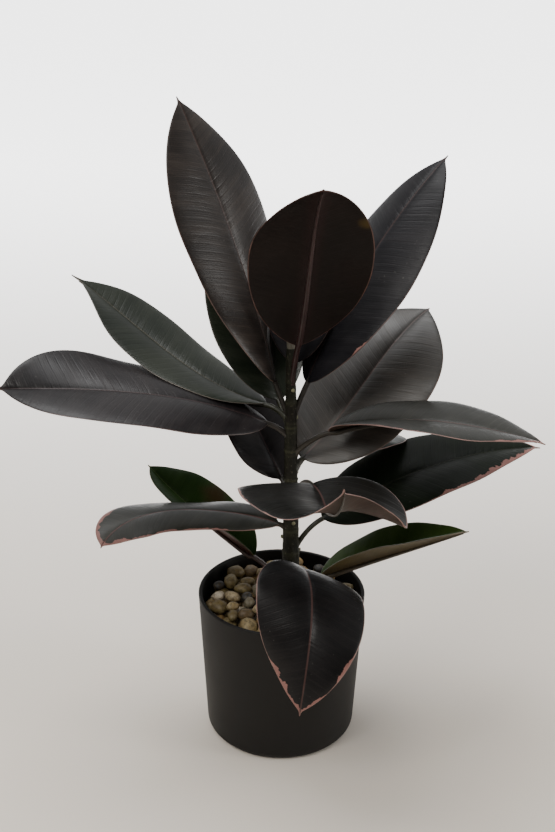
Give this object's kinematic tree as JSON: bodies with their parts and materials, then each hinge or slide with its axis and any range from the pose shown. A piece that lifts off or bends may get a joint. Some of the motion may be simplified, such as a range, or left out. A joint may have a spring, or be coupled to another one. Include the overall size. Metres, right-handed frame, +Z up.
{
  "type": "potted rubber plant",
  "caption": "Upright rubber plant with dark leathery leaves on one woody stem, in a matte black tapered pot topped with pebbles.",
  "frame": {"origin": "centre of the pot's underside, on the surface the pot stands on", "axes": "+Z up along the pot's axis; -Y is the front of the plant, where one leaf hangs over the rim; +X is to its right"},
  "size_m": [0.4109, 0.2559, 0.4899],
  "materials": {
    "pot": "matte",
    "potting_mix": "matte",
    "gravel": "matte",
    "stem": "satin",
    "bud": "satin",
    "leaf": "satin",
    "leaf_green": "satin"
  },
  "bodies": {
    "root": {"pot": "pot", "potting_mix": "potting_mix", "gravel_bed": "gravel", "stem": "stem", "terminal_bud": "bud", "pebble_01": "gravel", "pebble_02": "gravel", "pebble_03": "gravel", "pebble_04": "gravel", "pebble_05": "gravel", "pebble_06": "gravel", "pebble_07": "gravel", "pebble_08": "gravel", "pebble_09": "gravel", "pebble_10": "gravel", "pebble_11": "gravel", "pebble_12": "gravel", "pebble_13": "gravel", "pebble_14": "gravel", "pebble_15": "gravel", "pebble_16": "gravel", "pebble_17": "gravel", "pebble_18": "gravel", "pebble_19": "gravel", "pebble_20": "gravel", "pebble_21": "gravel", "pebble_22": "gravel", "pebble_23": "gravel", "pebble_24": "gravel", "pebble_25": "gravel", "pebble_26": "gravel", "pebble_27": "gravel", "pebble_28": "gravel", "pebble_29": "gravel", "pebble_30": "gravel", "pebble_31": "gravel", "pebble_32": "gravel", "pebble_33": "gravel", "pebble_34": "gravel", "pebble_35": "gravel", "pebble_36": "gravel", "leaf_top_front": "leaf", "leaf_top_left": "leaf", "leaf_top_right": "leaf", "leaf_top_back": "leaf", "leaf_upper_left_back": "leaf", "leaf_left_front": "leaf", "leaf_left_back": "leaf", "leaf_right_broad": "leaf", "leaf_right_front": "leaf", "leaf_left_inner": "leaf", "leaf_right_back": "leaf", "leaf_middle_front": "leaf", "leaf_right_low": "leaf", "leaf_left_low": "leaf", "leaf_left_bottom": "leaf_green", "leaf_front_hanging": "leaf", "leaf_right_bottom": "leaf_green"}
  },
  "joints": []
}
